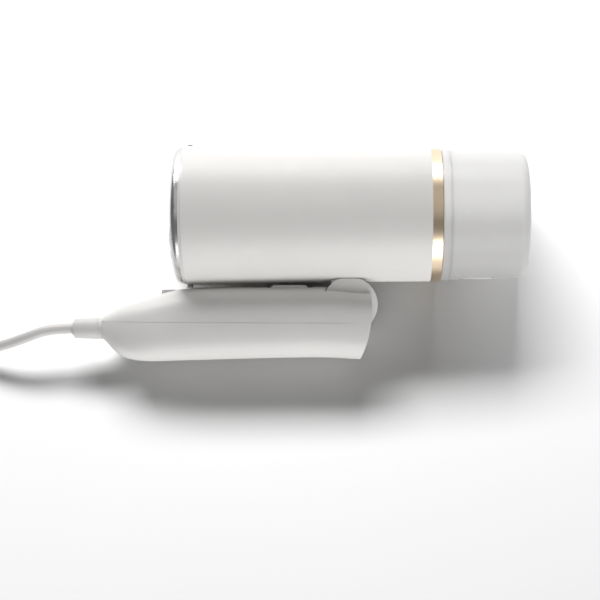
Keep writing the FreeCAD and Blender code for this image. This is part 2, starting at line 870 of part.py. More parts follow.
def grip_tools():
    """What is cut away from the handle: the hollow, the hinge slot and the room for the open barrel."""
    screw_posts = [rod("z", -90, -30, 3.3, x, y) for x, y in handle_screw_places()]
    hollow = cut(grip_form(d.grip_wall, 1, d.hollow_rear), *screw_posts)
    slot_half = d.slot_half_width
    drum_room = rod("y", -slot_half, slot_half, d.slot_radius, d.hinge_x, d.hinge_z)
    swing_room = prism(
        [
            (d.neck_front - 0.5, d.hinge_z),
            (d.hinge_x, d.hinge_z - 2),
            (60, -87),
            (60, -30),
            (d.neck_front - 0.5, -30),
        ],
        slot_half,
    )
    pin_half = d.hinge_pin_half_length
    pin_room = rod("y", -pin_half, pin_half, d.hinge_pin_radius, d.hinge_x, d.hinge_z)
    washer_room = rod("y", -13.1, 13.1, d.washer_radius + 0.05, d.hinge_x, d.hinge_z)
    tip_room = rod("x", -110, -100, d.relief_neck_radius, 0, d.relief_z)
    open_angle = math.radians(d.fold_range.number)
    reach = -d.hinge_z.number
    open_barrel = rod("z", -110, 110, d.barrel_mid_radius + 0.6)
    lean = Rotation(Vector(0, 1, 0), d.fold_range.number - 90)
    base = Vector(d.hinge_x.number, 0, d.hinge_z.number)
    base = base + Vector(reach * math.sin(open_angle), 0, reach * math.cos(open_angle))
    base = base - lean.multVec(Vector(0, 0, 110))
    open_barrel.Placement = Placement(base, lean)
    for prop in ("x", "y", "z"):
        open_barrel.setExpression(f"Placement.Base.{prop}", None)
    wire_room = rod("x", 5, 14, 2, 0, -61)
    return [hollow, drum_room, swing_room, pin_room, washer_room, tip_room, open_barrel, wire_room]


def grip_end():
    """Everything short of the handle's rounded end face."""
    end = rod("y", -30, 30, d.grip_end_radius, d.grip_end_x, d.grip_end_z)
    return fuse(end, block((-125, d.grip_end_x), (-30, 30), (-95, -20)))


def above_seam():
    """Everything on the barrel's side of the seam between the handle's shells."""
    return prism([(-125, d.seam_front), (50, d.seam_rear), (50, -20), (-125, -20)], 40)


def seam_groove():
    """A shallow groove that follows the seam round the outside of the handle."""
    half = d.groove_width / 2
    slab = prism(
        [
            (-125, d.seam_front + half),
            (-125, d.seam_front - half),
            (50, d.seam_rear - half),
            (50, d.seam_rear + half),
        ],
        40,
    )
    return cut(slab, grip_form(d.groove_depth, 1, 50))


def handle_shells():
    """The grip's two shells, parted along the seam, with posts for their screws."""
    form = common(grip_form(0, 0, 60), grip_end())
    tools = grip_tools()
    places = handle_screw_places()
    trigger_half = d.trigger_half_width + d.trigger_gap
    trigger_room = block(
        (d.trigger_front - 1.2, d.trigger_rear + 1.2), (-trigger_half, trigger_half), (-48, -30)
    )
    button_half = d.button_half_width + d.trigger_gap
    button_room = block(
        (d.button_front - d.trigger_gap, d.button_rear + d.trigger_gap),
        (-button_half, button_half),
        (-48, -30),
    )
    seam = above_seam()
    tools.append(seam_groove())
    upper = common(form, seam)
    for tool in [*tools, trigger_room, button_room]:
        upper = cut(upper, tool)
    for x, y in places:
        upper = cut(upper, rod("z", -60, -44, 1.5, x, y))
    node("handle_inner_shell", upper)
    lower = cut(form, seam)
    for tool in tools:
        lower = cut(lower, tool)
    for x, y in places:
        lower = cut(lower, rod("z", -90, -70.4, 3.0, x, y))
        lower = cut(lower, rod("z", -73, -50, 1.6, x, y))
    node("handle_outer_shell", lower)


def hinge_pin():
    half = d.hinge_pin_half_length
    node("hinge_pin", rod("y", -half, half, d.hinge_pin_radius, d.hinge_x, d.hinge_z))


def hinge_washers():
    bore = d.hinge_pin_radius
    pair = doc.addObject("Part::Compound", "washer_pair")
    pair.Links = [
        tube("y", low, low + 0.8, d.washer_radius, bore, d.hinge_x, d.hinge_z) for low in (-13.1, 12.3)
    ]
    node("hinge_washers", pair)


def circuit_board():
    half = d.board_half_width
    board = block((d.board_front, d.board_rear), (-half, half), (d.board_bottom, d.board_top))
    post_holes = [rod("z", -62, -58, 3.8, x, y) for x, y in handle_screw_places()]
    node("circuit_board", cut(board, *post_holes))


def board_parts():
    top = d.board_top
    relay = block((-58.5, -44.5), (-8, 8), (top, top + 9))
    choke = rod("z", top, top + 7, 4.6, -31.8, 0)
    sink = block((-26, -20), (-7, 7), (top, top + 6))
    together = doc.addObject("Part::Compound", "board_set")
    together.Links = [relay, choke, sink]
    node("board_parts", together)


def switches():
    top = d.board_top
    trigger_can = block((-3.4, 3.6), (-4, 4), (-58.4, -50))
    trigger_tip = rod("z", -50, -48.0, 1.2, 2, 0)
    node("trigger_switch", fuse(trigger_can, trigger_tip))
    middle = (d.button_front + d.button_rear) / 2
    button_can = block((middle - 3, middle + 3), (-3, 3), (top, top + 5))
    button_tip = rod("z", top + 5, top + 6, 1.5, middle, 0)
    node("button_switch", fuse(button_can, button_tip))


def steam_trigger():
    half = d.trigger_half_width
    cap = prism(
        [
            (d.trigger_front, -39.2),
            (d.trigger_front + 2.2, d.trigger_top),
            (d.trigger_rear - 2.4, d.trigger_top),
            (d.trigger_rear, -39.4),
            (d.trigger_rear, -45.6),
            (d.trigger_hinge_x, -46.8),
            (d.trigger_hinge_x, -43.2),
            (d.trigger_front, -42.6),
        ],
        half,
    )
    knuckle = rod("y", -half, half, 2.2, d.trigger_hinge_x, d.trigger_hinge_z)
    bore = rod("y", -10, 10, 1.07, d.trigger_hinge_x, d.trigger_hinge_z)
    inside = block((-13.5, 2.6), (-5, 5), (-48, -40))
    floor = block((-0.5, 4.5), (-5, 5), (-45.4, -43.4))
    node("steam_trigger", cut(fuse(cut(fuse(cap, knuckle), inside), floor), bore))


def trigger_pin():
    node("trigger_pin", rod("y", -9.5, 9.5, 1.0, d.trigger_hinge_x, d.trigger_hinge_z))


def trigger_spring():
    coil = spring(16.9, 3.0, 0.4, 8)
    node("trigger_spring", locate(coil, -9, 0, -58.5))


def power_button():
    half = d.button_half_width
    cap = block((d.button_front, d.button_rear), (-half, half), (-45, d.button_top))
    flange = block((d.button_front - 1.4, d.button_rear + 1.4), (-half - 1.4, half + 1.4), (-46, -45))
    middle = (d.button_front + d.button_rear) / 2
    stem = rod("z", d.board_top + 7, -46, 1.5, middle, 0)
    node("power_button", fuse(cap, flange, stem))


def cord_clamp():
    saddle = block((-95, -89), (-8.5, 8.5), (-69, -56.5))
    bore = rod("x", -96, -88, d.cord_radius, 0, d.relief_z)
    holes = [rod("z", -66, -56, 1.5, -92, y) for y in (-6, 6)]
    node("cord_clamp", cut(saddle, bore, *holes))


def strain_relief():
    grooves = []
    span = d.relief_rear - d.relief_front
    cone = doc.addObject("Part::Cone", "relief_cone")
    bind(cone, "Radius1", d.relief_front_radius)
    bind(cone, "Radius2", d.relief_rear_radius)
    bind(cone, "Height", span)
    cone.Placement = Placement(Vector(), Rotation(Vector(0, 1, 0), 90))
    locate(cone, d.relief_front, 0, d.relief_z)
    for x, radius in ((d.relief_front + 1.6, 4.7), (d.relief_rear - 2.4, 5.2)):
        grooves.append(tube("x", x, x + 0.8, 8, radius, 0, d.relief_z))
    neck = rod("x", d.relief_rear, -98, d.relief_neck_radius, 0, d.relief_z)
    flange = rod("x", -98, -96, 6.5, 0, d.relief_z)
    bore = rod("x", -100, -95, d.cord_radius, 0, d.relief_z)
    node("strain_relief", cut(fuse(cone, neck, flange), bore, *grooves))


def inner_lead():
    node("inner_lead", rod("x", -100, -87, d.cord_radius, 0, d.relief_z))


def handle_wires():
    node("handle_wires", rod("x", d.board_rear, 12, 1.3, 0, -61))


# ---------------------------------------------------------------- cord, on the floor z = 0
# Route of the cord from the strain relief to the coil, chosen by hand.
CORD_ROUTE = [
    (-122.2, -38.8, 22.1),
    (-135.0, -39.0, 22.3),
    (-148.5, -43.4, 19.4),
    (-162.0, -46.6, 14.4),
    (-177.0, -47.7, 8.8),
    (-194.0, -46.5, 4.4),
    (-219.0, -46.0, 2.8),
]
# Lead from the coil to the plug.
LEAD_ROUTE = [(-263.8, 14.0, 8.5), (-265.0, 26.0, 9.0)]


def tube_along(route, radius):
    """A round tube along straight runs joined by tangent arcs, and its length."""
    points = [Vector(*p) for p in route]
    edges = []
    start = points[0]
    length = 0.0
    for before, corner, after in zip(points, points[1:], points[2:]):
        arriving = corner - before
        leaving = after - corner
        turn = arriving.getAngle(leaving)
        reach = 0.45 * min(arriving.Length, leaving.Length)
        bend = reach / math.tan(turn / 2)
        print(f"cord arc radius {bend:.1f} mm, turn {math.degrees(turn):.1f} degrees")
        into = corner - arriving.normalize() * reach
        out = corner + leaving.normalize() * reach
        inward = (into + out) / 2 - corner
        middle = corner + inward.normalize() * (bend / math.cos(turn / 2) - bend)
        edges.append(Part.LineSegment(start, into).toShape())
        edges.append(Part.Arc(into, middle, out).toShape())
        length += (into - start).Length + bend * turn
        start = out
    edges.append(Part.LineSegment(start, points[-1]).toShape())
    length += (points[-1] - start).Length
    path = Part.Wire(edges)
    circle = Part.Circle(points[0], points[1] - points[0], radius)
    made = path.makePipeShell([Part.Wire(circle.toShape())], True, True)
    expected = math.pi * radius**2 * length
    print(f"tube {length:.1f} mm long, volume {made.Volume:.0f} mm3, section x length {expected:.0f} mm3")
    return made


def soft_part(label, shape):
    """A piece whose shape follows a path."""
    made = doc.addObject("Part::Feature", label)
    made.Shape = shape
    return node(label, made)


def power_cord():
    main_run = tube_along(CORD_ROUTE, d.cord_radius.number)
    soft_part("power_cord", main_run)
    lead = tube_along(LEAD_ROUTE, d.cord_radius.number)
    soft_part("plug_lead", lead)


def cord_coil():
    outer = rod("z", 0, d.coil_height, d.coil_radius + d.coil_half_width, d.coil_x, d.coil_y)
    inner = rod("z", -1, d.coil_height + 1, d.coil_radius - d.coil_half_width, d.coil_x, d.coil_y)
    node("cord_coil", cut(outer, inner))


def cord_tie():
    """A strap round the coil's side that is turned away from the steamer's handle."""
    half = d.tie_width / 2
    strap = d.tie_thickness
    inner = d.coil_radius - d.coil_half_width
    outer = d.coil_radius + d.coil_half_width
    wide = (d.coil_x - half, d.coil_x + half)
    deep = (d.coil_y + inner - strap, d.coil_y + outer + strap)
    band = block(wide, deep, (0, d.coil_height + strap))
    room = tube("z", -1, d.coil_height, outer, inner, d.coil_x, d.coil_y)
    node("cord_tie", cut(band, room))


def plug():
    """A moulded two-pin plug that lies beside the coil with its pins along +Y."""
    back = d.plug_back
    face = back + d.plug_length
    x = d.plug_x
    half = d.plug_half_width
    neck = back + d.plug_neck_length
    shoulder = neck + 8
    corners = [
        (x - 4.5, back),
        (x + 4.5, back),
        (x + 5.5, neck),
        (x + half, shoulder),
        (x + half, face),
        (x - half, face),
        (x - half, shoulder),
        (x - 5.5, neck),
    ]
    body = doc.addObject("PartDesign::Body", "plug_body")
    pad = body.newObject("PartDesign::Pad", "pad")
    pad.Profile = outline(body, "plug_top_view", "XY_Plane", corners)
    bind(pad, "Length", d.plug_half_height * 2)
    node("plug_body", body)
    pair = doc.addObject("Part::Compound", "pin_pair")
    pair.Links = [
        rod("y", face, face + d.pin_length, d.pin_radius, x + d.pin_spacing * side, d.plug_half_height)
        for side in (-0.5, 0.5)
    ]
    node("plug_pins", pair)


# ---------------------------------------------------------------- assembly
def build_steamer():
    main_housing()
    front_bezel()
    accent_ring()
    spacer_nubs()
    steam_plate()
    steam_chamber()
    plate_gasket()
    heating_element()
    chamber_cover()
    cover_places = list(around(6, d.cover_screw_circle, 30))
    screws("cover_screws", "x", cover_places, COVER_REAR, COVER_REAR + 1.8, -52, COVER_REAR)
    thermostat()
    thermal_fuse()
    heat_shield()
    inner_chassis()
    pump_cradle()
    water_pump()
    hoses()
    tank_dock()
    screws("dock_screws", "x", DOCK_SCREWS, 63, 64.8, 50, 63)
    dock_seal()
    head_wires()
    hinge_plate()
    screws("hinge_screws", "z", hinge_screw_places(), -29.5, -27.7, -43, -29.5)
    hinge_barrel()
    hinge_end_cap()
    tank_collar()
    tank_shell()
    tank_valve()
    valve_plunger()
    valve_spring()
    intake_tube()
    fill_port()
    fill_flap()
    flap_pin()
    flap_seal()
    handle_shells()
    hinge_pin()
    hinge_washers()
    circuit_board()
    board_parts()
    switches()
    steam_trigger()
    trigger_pin()
    trigger_spring()
    power_button()
    cord_clamp()
    screws("clamp_screws", "z", [(-92, -6), (-92, 6)], -56.5, -55, -65.5, -56.5)
    screws("handle_screws", "z", handle_screw_places(), -72, -70.4, -70.4, -45)
    strain_relief()
    inner_lead()
    handle_wires()


def lay_down():
    """Gives every piece of the steamer its rest Placement on the floor."""
    roll = Rotation(Vector(1, 0, 0), d.rest_roll.number)
    pitch = Rotation(Vector(0, 1, 0), d.rest_pitch.number)
    rest = Placement(Vector(d.rest_x.number, d.rest_y.number, d.rest_z.number), pitch.multiply(roll))
    for made in nodes.values():
        for prop in ("x", "y", "z"):
            made.setExpression(f"Placement.Base.{prop}", None)
        made.Placement = rest.multiply(made.Placement)
    return rest


def check_and_write():
    doc.recompute()
    for made in doc.Objects:
        if "Invalid" in made.State or "Error" in made.State:
            raise SystemExit(f"{made.Name} ({made.Label}) failed: {made.State}")
    os.makedirs("parts", exist_ok=True)
    for label, made in nodes.items():
        shape = made.Shape
        if shape.isNull() or not shape.isValid() or not shape.Solids:
            raise SystemExit(f"{label} has no valid solid")
        print(f"{label}: {len(shape.Solids)} solids, {shape.Volume / 1000:.2f} cm3")
        shape.exportStep(f"parts/{label}.step")


build_steamer()
doc.recompute()
rest = lay_down()
power_cord()
cord_coil()
cord_tie()
plug()
check_and_write()
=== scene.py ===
import json
import math

import bpy
from mathutils import Matrix, Vector

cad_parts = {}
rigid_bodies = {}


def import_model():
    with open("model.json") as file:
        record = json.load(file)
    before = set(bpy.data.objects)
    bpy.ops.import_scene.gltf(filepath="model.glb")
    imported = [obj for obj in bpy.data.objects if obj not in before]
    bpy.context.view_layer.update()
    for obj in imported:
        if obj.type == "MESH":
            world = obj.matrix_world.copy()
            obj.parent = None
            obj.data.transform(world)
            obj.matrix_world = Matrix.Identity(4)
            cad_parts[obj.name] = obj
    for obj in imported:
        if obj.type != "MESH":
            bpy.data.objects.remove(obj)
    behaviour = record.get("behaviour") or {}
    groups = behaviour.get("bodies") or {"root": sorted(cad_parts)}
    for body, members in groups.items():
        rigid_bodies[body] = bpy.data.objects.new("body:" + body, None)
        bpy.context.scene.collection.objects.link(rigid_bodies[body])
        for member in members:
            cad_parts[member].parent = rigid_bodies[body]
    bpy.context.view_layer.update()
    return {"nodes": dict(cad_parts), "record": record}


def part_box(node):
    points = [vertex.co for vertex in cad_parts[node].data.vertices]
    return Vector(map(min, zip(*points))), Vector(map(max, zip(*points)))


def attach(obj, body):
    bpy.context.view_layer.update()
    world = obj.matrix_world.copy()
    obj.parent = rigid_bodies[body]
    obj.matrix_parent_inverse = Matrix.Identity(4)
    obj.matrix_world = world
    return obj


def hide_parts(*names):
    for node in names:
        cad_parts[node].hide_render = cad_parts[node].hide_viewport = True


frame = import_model()
MM = 0.001

# Rest placement of the steamer: the same roll, pitch and shift as in the part's source.
REST = (
    Matrix.Translation(Vector((1.346, 19.844, 36.549)) * MM)
    @ Matrix.Rotation(math.radians(0.804), 4, "Y")
    @ Matrix.Rotation(math.radians(-74.612), 4, "X")
)
BARREL_AXIS = REST.to_3x3() @ Vector((1, 0, 0))
UP_IN_VIEW = (REST.to_3x3() @ Vector((0, 0, 1))).normalized()

CAMERA_AT = Vector((41.33, -231.0, 776.0)) * MM
CAMERA_AIM = Vector((1.18, -24.0, 24.5)) * MM
CAMERA_SENSOR = 36
CAMERA_LENS = 87


# ---------------------------------------------------------------- materials
class Nodes:
    """A material's node tree with short calls for the nodes that this scene uses."""

    def __init__(self, name):
        self.material = bpy.data.materials.new(name)
        self.material.use_nodes = True
        self.tree = self.material.node_tree
        self.shader = self.tree.nodes["Principled BSDF"]
        self.place = self.add("ShaderNodeTexCoord").outputs["Object"]

    def add(self, kind):
        return self.tree.nodes.new(kind)

    def link(self, output, target):
        self.tree.links.new(output, target)

    def noise(self, scale, detail=3.0, stretch=(1, 1, 1)):
        """Noise over the piece; scale is its features per metre."""
        mapping = self.add("ShaderNodeMapping")
        mapping.inputs["Scale"].default_value = stretch
        self.link(self.place, mapping.inputs["Vector"])
        made = self.add("ShaderNodeTexNoise")
        made.inputs["Scale"].default_value = scale
        made.inputs["Detail"].default_value = detail
        self.link(mapping.outputs["Vector"], made.inputs["Vector"])
        return made.outputs["Fac"]

    def ramp(self, value, low, high, first, last):
        made = self.add("ShaderNodeValToRGB")
        made.color_ramp.elements[0].position = low
        made.color_ramp.elements[0].color = (*first, 1)
        made.color_ramp.elements[1].position = high
        made.color_ramp.elements[1].color = (*last, 1)
        self.link(value, made.inputs["Fac"])
        return made.outputs["Color"]

    def spread(self, value, low, high):
        """Maps a noise value to a range."""
        made = self.add("ShaderNodeMapRange")
        made.inputs["From Min"].default_value = 0.3
        made.inputs["From Max"].default_value = 0.7
        made.inputs["To Min"].default_value = low
        made.inputs["To Max"].default_value = high
        self.link(value, made.inputs["Value"])
        return made.outputs["Result"]

    def colour(self, base, variation, scale, stretch=(1, 1, 1)):
        first = [c * (1 - variation) for c in base]
        last = [min(1, c * (1 + variation)) for c in base]
        mottle = self.noise(scale, 4, stretch)
        self.link(self.ramp(mottle, 0.35, 0.65, first, last), self.shader.inputs["Base Color"])

    def roughness(self, low, high, scale, stretch=(1, 1, 1)):
        self.link(self.spread(self.noise(scale, 2, stretch), low, high), self.shader.inputs["Roughness"])

    def bump(self, scale, depth, strength=1.0, stretch=(1, 1, 1), detail=2.0):
        made = self.add("ShaderNodeBump")
        made.inputs["Distance"].default_value = depth
        made.inputs["Strength"].default_value = strength
        self.link(self.noise(scale, detail, stretch), made.inputs["Height"])
        self.link(made.outputs["Normal"], self.shader.inputs["Normal"])

    def set(self, **values):
        names = {
            "metallic": "Metallic",
            "transmission": "Transmission Weight",
            "subsurface": "Subsurface Weight",
            "reach": "Subsurface Scale",
            "ior": "IOR",
            "sheen": "Sheen Weight",
            "scatter": "Subsurface Radius",
        }
        for key, value in values.items():
            self.shader.inputs[names[key]].default_value = value


def moulded(name, base, low, high, grain=900, depth=0.00002, variation=0.012):
    """Moulded plastic: even colour with a faint mottle and a fine spark-eroded grain."""
    nodes = Nodes(name)
    nodes.colour(base, variation, 45)
    nodes.roughness(low, high, 160)
    nodes.bump(grain, depth, 0.35)
    return nodes


def metal(name, base, low, high, stretch=(1, 1, 1), scale=300, depth=0.00001):
    nodes = Nodes(name)
    nodes.colour(base, 0.05, scale, stretch)
    nodes.roughness(low, high, scale * 1.5, stretch)
    nodes.bump(scale * 2, depth, 0.3, stretch)
    nodes.set(metallic=1.0)
    return nodes


def make_materials():
    made = {}
    made["housing_white"] = moulded("satin_white", (0.80, 0.788, 0.767), 0.46, 0.52, 700, 0.00001)
    made["bezel_grey"] = moulded("bezel_grey", (0.74, 0.735, 0.725), 0.28, 0.36)
    made["plate_metal"] = metal("plate_metal", (0.66, 0.655, 0.65), 0.24, 0.30, scale=90, depth=0.000001)
    gold = (0.82, 0.66, 0.48)
    made["champagne_gold"] = metal("champagne_gold", gold, 0.31, 0.33, scale=60, depth=0.000001)
    made["nub_grey"] = moulded("nub_grey", (0.55, 0.55, 0.54), 0.5, 0.6)
    made["cast_alu"] = metal("cast_alu", (0.65, 0.65, 0.65), 0.4, 0.6, depth=0.0001)
    made["silicone"] = moulded("silicone", (0.72, 0.71, 0.68), 0.45, 0.6)
    made["silicone"].set(subsurface=0.2, reach=0.003, scatter=(1, 1, 1))
    made["element_steel"] = metal("element_steel", (0.42, 0.40, 0.38), 0.35, 0.5)
    made["zinc_screw"] = metal("zinc_screw", (0.62, 0.62, 0.62), 0.28, 0.4)
    made["phenolic"] = moulded("phenolic", (0.05, 0.04, 0.035), 0.4, 0.55)
    made["shield_alu"] = metal("shield_alu", (0.75, 0.75, 0.75), 0.3, 0.42, (1, 5, 5))
    made["inner_plastic"] = moulded("inner_plastic", (0.62, 0.62, 0.61), 0.4, 0.5)
    made["pump_case"] = moulded("pump_case", (0.06, 0.06, 0.07), 0.4, 0.5)
    made["wire_cover"] = moulded("wire_cover", (0.35, 0.03, 0.03), 0.35, 0.45)
    made["hinge_steel"] = metal("hinge_steel", (0.6, 0.6, 0.6), 0.2, 0.35, (8, 1, 8))
    made["tank_pearl"] = moulded("tank_pearl", (0.88, 0.87, 0.855), 0.30, 0.36, 500, 0.000005)
    made["tank_pearl"].set(transmission=0.05, subsurface=0.6, reach=0.012, scatter=(1, 1, 1), ior=1.45)
    made["handle_grey"] = moulded("handle_grey", (0.77, 0.76, 0.742), 0.40, 0.50, 1100, 0.00003)
    made["board_green"] = moulded("board_green", (0.02, 0.12, 0.05), 0.3, 0.45)
    made["relief_grey"] = moulded("relief_grey", (0.68, 0.67, 0.655), 0.45, 0.58)
    made["cord_grey"] = moulded("cord_grey", (0.66, 0.65, 0.64), 0.38, 0.48, 800, 0.00002)
    made["tie_black"] = moulded("tie_black", (0.03, 0.03, 0.03), 0.6, 0.8, 2500, 0.0001)
    made["tie_black"].set(sheen=0.4)
    made["pin_brass"] = metal("pin_brass", (0.75, 0.62, 0.34), 0.18, 0.3, (8, 1, 8))
    return {slot: nodes.material for slot, nodes in made.items()}


MATERIALS = make_materials()


def dress(piece, slot):
    """Gives a piece the material of one of the record's slots."""
    piece.data.materials.clear()
    piece.data.materials.append(MATERIALS[slot])


def dress_cad_nodes():
    for entry in frame["record"]["subparts"]:
        piece = frame["nodes"][entry["node"]]
        piece.data.materials.clear()
        piece.data.materials.append(MATERIALS[entry["material_slot"]])


# ---------------------------------------------------------------- shapes
def mesh_piece(name, points, faces, slot, body, smooth=40):
    """A new piece from points in millimetres in the row's frame."""
    data = bpy.data.meshes.new(name)
    data.from_pydata([tuple(value * MM for value in point) for point in points], [], faces)
    data.update()
    made = bpy.data.objects.new(name, data)
    bpy.context.scene.collection.objects.link(made)
    data.shade_smooth()
    data.set_sharp_from_angle(angle=math.radians(smooth))
    dress(made, slot)
    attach(made, body)
    return made


def skin(rings, closed_ends=True):
    """Faces that join rings of equally many points, one ring after another."""
    count = len(rings[0])
    points = [point for ring in rings for point in ring]
    faces = []
    for row in range(len(rings) - 1):
        for index in range(count):
            after = (index + 1) % count
            low, high = row * count, (row + 1) * count
            faces.append((low + index, low + after, high + after, high + index))
    if closed_ends:
        faces.append(tuple(reversed(range(count))))
        faces.append(tuple(range((len(rings) - 1) * count, len(rings) * count)))
    return points, faces


def in_row(x, y, z):
    """A point of the steamer's own frame, in millimetres, as a point of the row's frame."""
    return REST @ (Vector((x, y, z)) * MM) / MM


def superellipse(count, half_width, half_height, power):
    points = []
    for index in range(count):
        angle = 2 * math.pi * index / count
        across, up = math.cos(angle), math.sin(angle)
        reach = (abs(across / half_width) ** power + abs(up / half_height) ** power) ** (-1 / power)
        points.append((reach * across, reach * up))
    return points


def turned(profile, centre, along, count=48):
    """Rings of (place along the axis, radius) pairs about an axis of the row's frame."""
    along = Vector(along).normalized()
    side = along.orthogonal().normalized()
    other = along.cross(side)
    rings = []
    for place, radius in profile:
        middle = Vector(centre) + along * place
        ring = []
        for index in range(count):
            angle = 2 * math.pi * index / count
            ring.append(middle + (side * math.cos(angle) + other * math.sin(angle)) * radius)
        rings.append(ring)
    return rings


# ---------------------------------------------------------------- cord
CORD_RADIUS = 2.8 * MM
CORD_ROUTE = [
    (-122.2, -38.8, 22.1),
    (-135.0, -39.0, 22.3),
    (-148.5, -43.4, 19.4),
    (-162.0, -46.6, 14.4),
    (-177.0, -47.7, 8.8),
    (-194.0, -46.5, 4.4),
]
LEAD_ROUTE = [(-263.8, 14.0, 8.5), (-265.0, 26.0, 9.0)]
COIL_MIDDLE = (-219.0, -1.2)
COIL_OUTER = 44.8
COIL_LAYER_TURNS = 4
COIL_LOW = 2.8
COIL_CLIMB_TURNS = 0.25
COIL_RISE_TURNS = 0.35
POINTS_PER_TURN = 16
STRAP_THICKNESS = 1.1
PLUG_NECK_RADIUS = 4.6
SLEEVE_START = -97.5
SLEEVE_TIP = -123.2
SLEEVE_DEPTH = -60.8


def coil_points():
    """Turns wound inwards on the floor, then a step up and outwards again on top."""
    pitch = 2 * COIL_LOW
    climb_end = COIL_LAYER_TURNS + COIL_CLIMB_TURNS
    total = 2 * COIL_LAYER_TURNS + COIL_CLIMB_TURNS
    grow = 1 / math.cos(math.pi / POINTS_PER_TURN)
    points = []
    for step in range(round(total * POINTS_PER_TURN) + 1):
        turns = step / POINTS_PER_TURN
        inward = min(turns, COIL_LAYER_TURNS)
        outward = max(0.0, turns - climb_end)
        radius = (COIL_OUTER - pitch * (inward - outward)) * grow
        rise = min(1.0, max(0.0, (turns - climb_end + COIL_RISE_TURNS) / COIL_RISE_TURNS))
        angle = -math.pi / 2 - 2 * math.pi * turns
        x = COIL_MIDDLE[0] + radius * math.cos(angle)
        y = COIL_MIDDLE[1] + radius * math.sin(angle)
        points.append((x, y, COIL_LOW + pitch * rise))
    return points


def nurbs_curve(name, points, radius):
    """A round curve; each point carries its radius, so that the curve's own box is right."""
    data = bpy.data.curves.new(name, "CURVE")
    data.dimensions = "3D"
    spline = data.splines.new("NURBS")
    spline.points.add(len(points) - 1)
    for slot, point in zip(spline.points, points):
        slot.co = (*(value * MM for value in point), 1)
        slot.radius = radius
    spline.order_u = 3
    spline.use_endpoint_u = True
    spline.resolution_u = 6
    data.bevel_depth = 1.0
    data.bevel_resolution = 6
    data.use_fill_caps = True
    made = bpy.data.objects.new(name, data)
    bpy.context.scene.collection.objects.link(made)
    return made


def make_plug():
    """Moulded plug: sections across Y with half-width, half-height and squareness."""
    low, high = (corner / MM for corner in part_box("plug_body"))
    middle_x = (low.x + high.x) / 2
    half, tall = (high.x - low.x) / 2, (high.z - low.z) / 2
    neck = PLUG_NECK_RADIUS
    shape = [
        (0.000, neck * 0.78, neck * 0.78, 2.0),
        (0.012, neck * 0.95, neck * 0.95, 2.0),
        (0.300, neck * 1.15, neck * 1.15, 2.0),
        (0.340, half * 0.62, tall * 0.66, 2.3),
        (0.440, half * 0.86, tall * 0.88, 2.8),
        (0.560, half * 0.97, tall * 0.97, 3.4),
        (0.660, half * 0.93, tall * 0.93, 3.6),
        (0.740, half * 0.93, tall * 0.93, 3.8),
        (0.830, half * 0.99, tall * 0.99, 4.0),
        (0.960, half, tall, 4.2),
        (0.990, half * 0.985, tall * 0.98, 4.2),
        (1.000, half * 0.94, tall * 0.92, 4.2),
    ]
    length = high.y - low.y
    rings = []
    for share, width, height, power in shape:
        outline = superellipse(48, width, height, power)
        rings.append([(middle_x - x, low.y + share * length, tall + z) for x, z in outline])
    body = mesh_piece("moulded_plug", *skin(rings), "relief_grey", "handle", 50)
    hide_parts("plug_body")
    low, high = (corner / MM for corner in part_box("plug_pins"))
    radius = (high.z - low.z) / 2
    reach = high.y - low.y
    pieces = [body]
    for name, x in (("plug_pin_left", low.x + radius), ("plug_pin_right", high.x - radius)):
        profile = [
            (-0.5, radius * 0.93),
            (reach * 0.5, radius * 0.93),
            (reach * 0.5, radius),
            (reach - 1.6, radius),
            (reach - 0.7, radius * 0.86),
            (reach - 0.15, radius * 0.5),
            (reach, radius * 0.2),
        ]
        rings = turned(profile, (x, low.y, tall), (0, 1, 0), 32)
        pin = mesh_piece(name, *skin(rings), "pin_brass", "handle")
        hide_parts("plug_pins")
        pieces.append(pin)
    return pieces


def make_strain_relief():
    """The tapered sleeve at the handle's end, with a groove at each end and a small inner collar."""
    profile = [
        (SLEEVE_START, 4.4),
        (-105.9, 4.4),
        (-106.3, 5.6),
        (-106.7, 5.9),
        (-108.0, 5.86),
        (-108.2, 5.45),
        (-108.7, 5.45),
        (-108.9, 5.83),
        (-114.0, 5.62),
        (-121.3, 5.34),
        (-121.8, 5.22),
        (-122.0, 4.95),
        (-122.1, 3.9),
        (-122.3, 3.7),
        (SLEEVE_TIP + 0.3, 3.6),
        (SLEEVE_TIP + 0.05, 3.4),
        (SLEEVE_TIP, 2.7),
    ]
    rings = turned(profile, in_row(0, 0, SLEEVE_DEPTH), BARREL_AXIS, 64)
    sleeve = mesh_piece("strain_sleeve", *skin(rings), "relief_grey", "handle", 28)
    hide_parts("strain_relief")


def make_tie():
    """A woven strap round the wound cord."""
    low, high = (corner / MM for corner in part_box("cord_tie"))
    strap = STRAP_THICKNESS
    half_deep, half_tall = (high.y - low.y) / 2, (high.z - low.z) / 2
    middle = Vector(((low.x + high.x) / 2, (low.y + high.y) / 2, half_tall))
    outer = superellipse(96, half_deep, half_tall, 5)
    inner = superellipse(96, half_deep - strap, half_tall - strap, 5)
    half = (high.x - low.x) / 2
    rings = []
    for shape, side in ((outer, -half), (outer, half), (inner, half), (inner, -half), (outer, -half)):
        rings.append([(middle.x + side, middle.y + y, middle.z + z) for y, z in shape])
    points, faces = skin(rings, closed_ends=False)
    tie = mesh_piece("strap_tie", points, faces, "tie_black", "handle")
    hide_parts("cord_tie")
    return [tie]


def make_cord():
    points = CORD_ROUTE + coil_points() + LEAD_ROUTE
    cord = nurbs_curve("mains_cord", points, CORD_RADIUS)
    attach(cord, "handle")
    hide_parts("power_cord", "cord_coil", "plug_lead")
    dress(cord, "cord_grey")
    on_it = make_plug() + make_tie()


